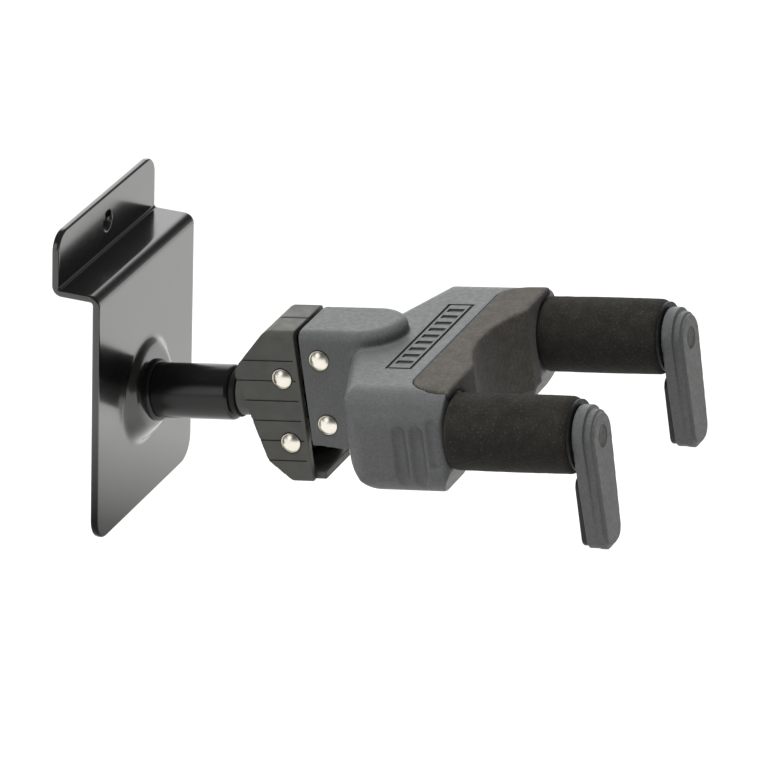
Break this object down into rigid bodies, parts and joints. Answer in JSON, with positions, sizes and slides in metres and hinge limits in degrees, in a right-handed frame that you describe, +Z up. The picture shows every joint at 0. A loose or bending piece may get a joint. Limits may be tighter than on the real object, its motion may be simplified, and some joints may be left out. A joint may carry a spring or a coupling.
{
  "type": "wall guitar hanger",
  "caption": "Slat-wall guitar hanger: bent steel plate, tilted post, swivelling drop-linkage yoke, foam-covered arms and self-closing gates.",
  "frame": {"origin": "on the plate's flat back face, on its vertical centreline, 25 mm below the post's axis", "axes": "+Z up, +Y into the wall, so the arms point to -Y; +X to the right when facing the wall"},
  "size_m": [0.1, 0.1824, 0.0996],
  "materials": {
    "black_paint": "gloss black powder coat",
    "black_gloss": "deep gloss black paint",
    "dark_paint": "satin dark grey paint",
    "grey_plastic": "fine textured mid grey",
    "dark_plastic": "fine textured dark grey",
    "black_nylon": "smooth black",
    "white_nylon": "natural nylon",
    "soft_pad": "soft matte brownish grey",
    "foam": "matte charcoal foam",
    "black_rubber": "smooth black rubber",
    "nickel": "bright nickel",
    "zinc_steel": "zinc plated",
    "black_screw": "black oxide"
  },
  "bodies": {
    "wall_bracket": {"wall_plate": "black_paint", "post_tube": "black_gloss", "post_collar": "black_gloss", "swivel_bolt": "zinc_steel", "swivel_bush": "black_nylon", "swivel_washer": "white_nylon"},
    "swivel_head": {"head_housing": "dark_paint", "head_floor": "dark_paint", "rear_rivets": "nickel", "rear_spacers": "white_nylon", "return_spring": "zinc_steel"},
    "upper_link": {"upper_link": "zinc_steel"},
    "lower_link": {"lower_link": "zinc_steel", "drive_pin": "zinc_steel"},
    "yoke": {"yoke_housing": "grey_plastic", "yoke_cover": "dark_plastic", "cover_screws": "black_screw", "front_rivets": "nickel", "front_spacers": "white_nylon", "guide_posts": "zinc_steel", "neck_pad": "soft_pad", "left_arm_tube": "zinc_steel", "right_arm_tube": "zinc_steel", "left_foam": "foam", "right_foam": "foam", "left_rear_bearing": "white_nylon", "right_rear_bearing": "white_nylon", "left_front_bearing": "black_nylon", "right_front_bearing": "black_nylon"},
    "drive_plate": {"drive_plate": "zinc_steel"},
    "left_gate": {"left_gate_shaft": "zinc_steel", "left_gate_crank": "zinc_steel", "left_gate_lever": "grey_plastic", "left_gate_pad": "black_rubber", "left_gate_plug": "dark_plastic"},
    "right_gate": {"right_gate_shaft": "zinc_steel", "right_gate_crank": "zinc_steel", "right_gate_lever": "grey_plastic", "right_gate_pad": "black_rubber", "right_gate_plug": "dark_plastic"}
  },
  "joints": [
    {"name": "yoke_swivel", "type": "hinge", "parent": "wall_bracket", "child": "swivel_head", "pos_m": [0, -0.02992, 0.02962], "axis": [0, -0.9863, 0.165], "range_deg": [-45, 45]},
    {"name": "link_swing", "type": "hinge", "parent": "swivel_head", "child": "upper_link", "pos_m": [0, -0.05197, 0.04325], "axis": [1, 0, 0], "range_deg": [0, 36], "stiffness_Nm_per_rad": 0.1, "springref_deg": -57.3, "deforming": ["return_spring"]},
    {"name": "lower_link_swing", "type": "hinge", "parent": "swivel_head", "child": "lower_link", "pos_m": [0, -0.0554, 0.02273], "axis": [1, 0, 0], "range_deg": [0, 36]},
    {"name": "yoke_level", "type": "hinge", "parent": "upper_link", "child": "yoke", "pos_m": [0, -0.06377, 0.05151], "axis": [1, 0, 0], "range_deg": [-36, 0]},
    {"name": "drive_slide", "type": "slide", "parent": "yoke", "child": "drive_plate", "axis": [0, -0.165, -0.9863], "range_m": [0, 0.00737]},
    {"name": "left_gate_swing", "type": "hinge", "parent": "yoke", "child": "left_gate", "pos_m": [-0.0385, -0.15912, 0.05733], "axis": [0, -0.9863, 0.165], "range_deg": [0, 90]},
    {"name": "right_gate_swing", "type": "hinge", "parent": "yoke", "child": "right_gate", "pos_m": [0.0385, -0.15912, 0.05733], "axis": [0, 0.9863, -0.165], "range_deg": [0, 90]}
  ],
  "couplings": [
    {"joint": "lower_link_swing", "follows": "link_swing", "ratio": 1},
    {"joint": "yoke_level", "follows": "link_swing", "ratio": -1},
    {"joint": "drive_slide", "follows": "link_swing", "m_per_rad": 0.011726},
    {"joint": "left_gate_swing", "follows": "link_swing", "ratio": 2.5},
    {"joint": "right_gate_swing", "follows": "link_swing", "ratio": 2.5}
  ]
}
